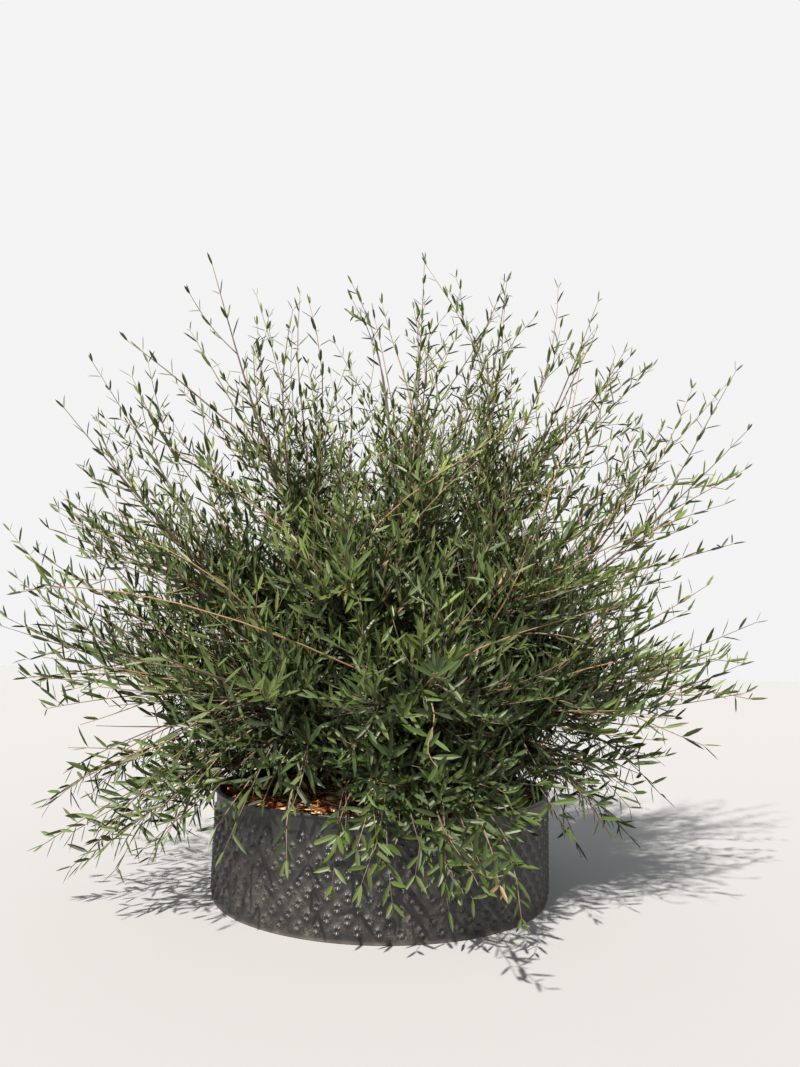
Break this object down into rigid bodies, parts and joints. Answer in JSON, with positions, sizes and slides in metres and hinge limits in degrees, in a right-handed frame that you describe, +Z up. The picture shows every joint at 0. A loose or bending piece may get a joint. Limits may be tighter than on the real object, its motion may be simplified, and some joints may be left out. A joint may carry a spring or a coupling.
{
  "type": "potted narrow-leaved mock privet",
  "caption": "Broad multi-stemmed evergreen shrub with slender lance-shaped leaves in opposite pairs, growing in a low wide dimpled black plastic pot",
  "frame": {"origin": "middle of the pot's flat underside, at ground level", "axes": "+Z up out of the pot; -Y is the front, the side the picture shows; +X is to the right seen from the front"},
  "size_m": [1.6858, 1.5413, 1.3917],
  "materials": {
    "pot_plastic": "satin",
    "bark_mix": "matte",
    "bark": "matte",
    "foliage": "satin"
  },
  "bodies": {
    "root": {"pot_wall": "pot_plastic", "pot_floor": "pot_plastic", "potting_mix": "bark_mix", "stool": "bark", "bough_top": "bark", "foliage_top": "foliage", "bough_high_1": "bark", "foliage_high_1": "foliage", "bough_high_2": "bark", "foliage_high_2": "foliage", "bough_high_3": "bark", "foliage_high_3": "foliage", "bough_high_4": "bark", "foliage_high_4": "foliage", "bough_high_5": "bark", "foliage_high_5": "foliage", "bough_shoulder_1": "bark", "foliage_shoulder_1": "foliage", "bough_shoulder_2": "bark", "foliage_shoulder_2": "foliage", "bough_shoulder_3": "bark", "foliage_shoulder_3": "foliage", "bough_shoulder_4": "bark", "foliage_shoulder_4": "foliage", "bough_shoulder_5": "bark", "foliage_shoulder_5": "foliage", "bough_shoulder_6": "bark", "foliage_shoulder_6": "foliage", "bough_shoulder_7": "bark", "foliage_shoulder_7": "foliage", "bough_middle_1": "bark", "foliage_middle_1": "foliage", "bough_middle_2": "bark", "foliage_middle_2": "foliage", "bough_middle_3": "bark", "foliage_middle_3": "foliage", "bough_middle_4": "bark", "foliage_middle_4": "foliage", "bough_middle_5": "bark", "foliage_middle_5": "foliage", "bough_middle_6": "bark", "foliage_middle_6": "foliage", "bough_middle_7": "bark", "foliage_middle_7": "foliage", "bough_skirt_1": "bark", "foliage_skirt_1": "foliage", "bough_skirt_2": "bark", "foliage_skirt_2": "foliage", "bough_skirt_3": "bark", "foliage_skirt_3": "foliage", "bough_skirt_4": "bark", "foliage_skirt_4": "foliage"}
  },
  "joints": []
}
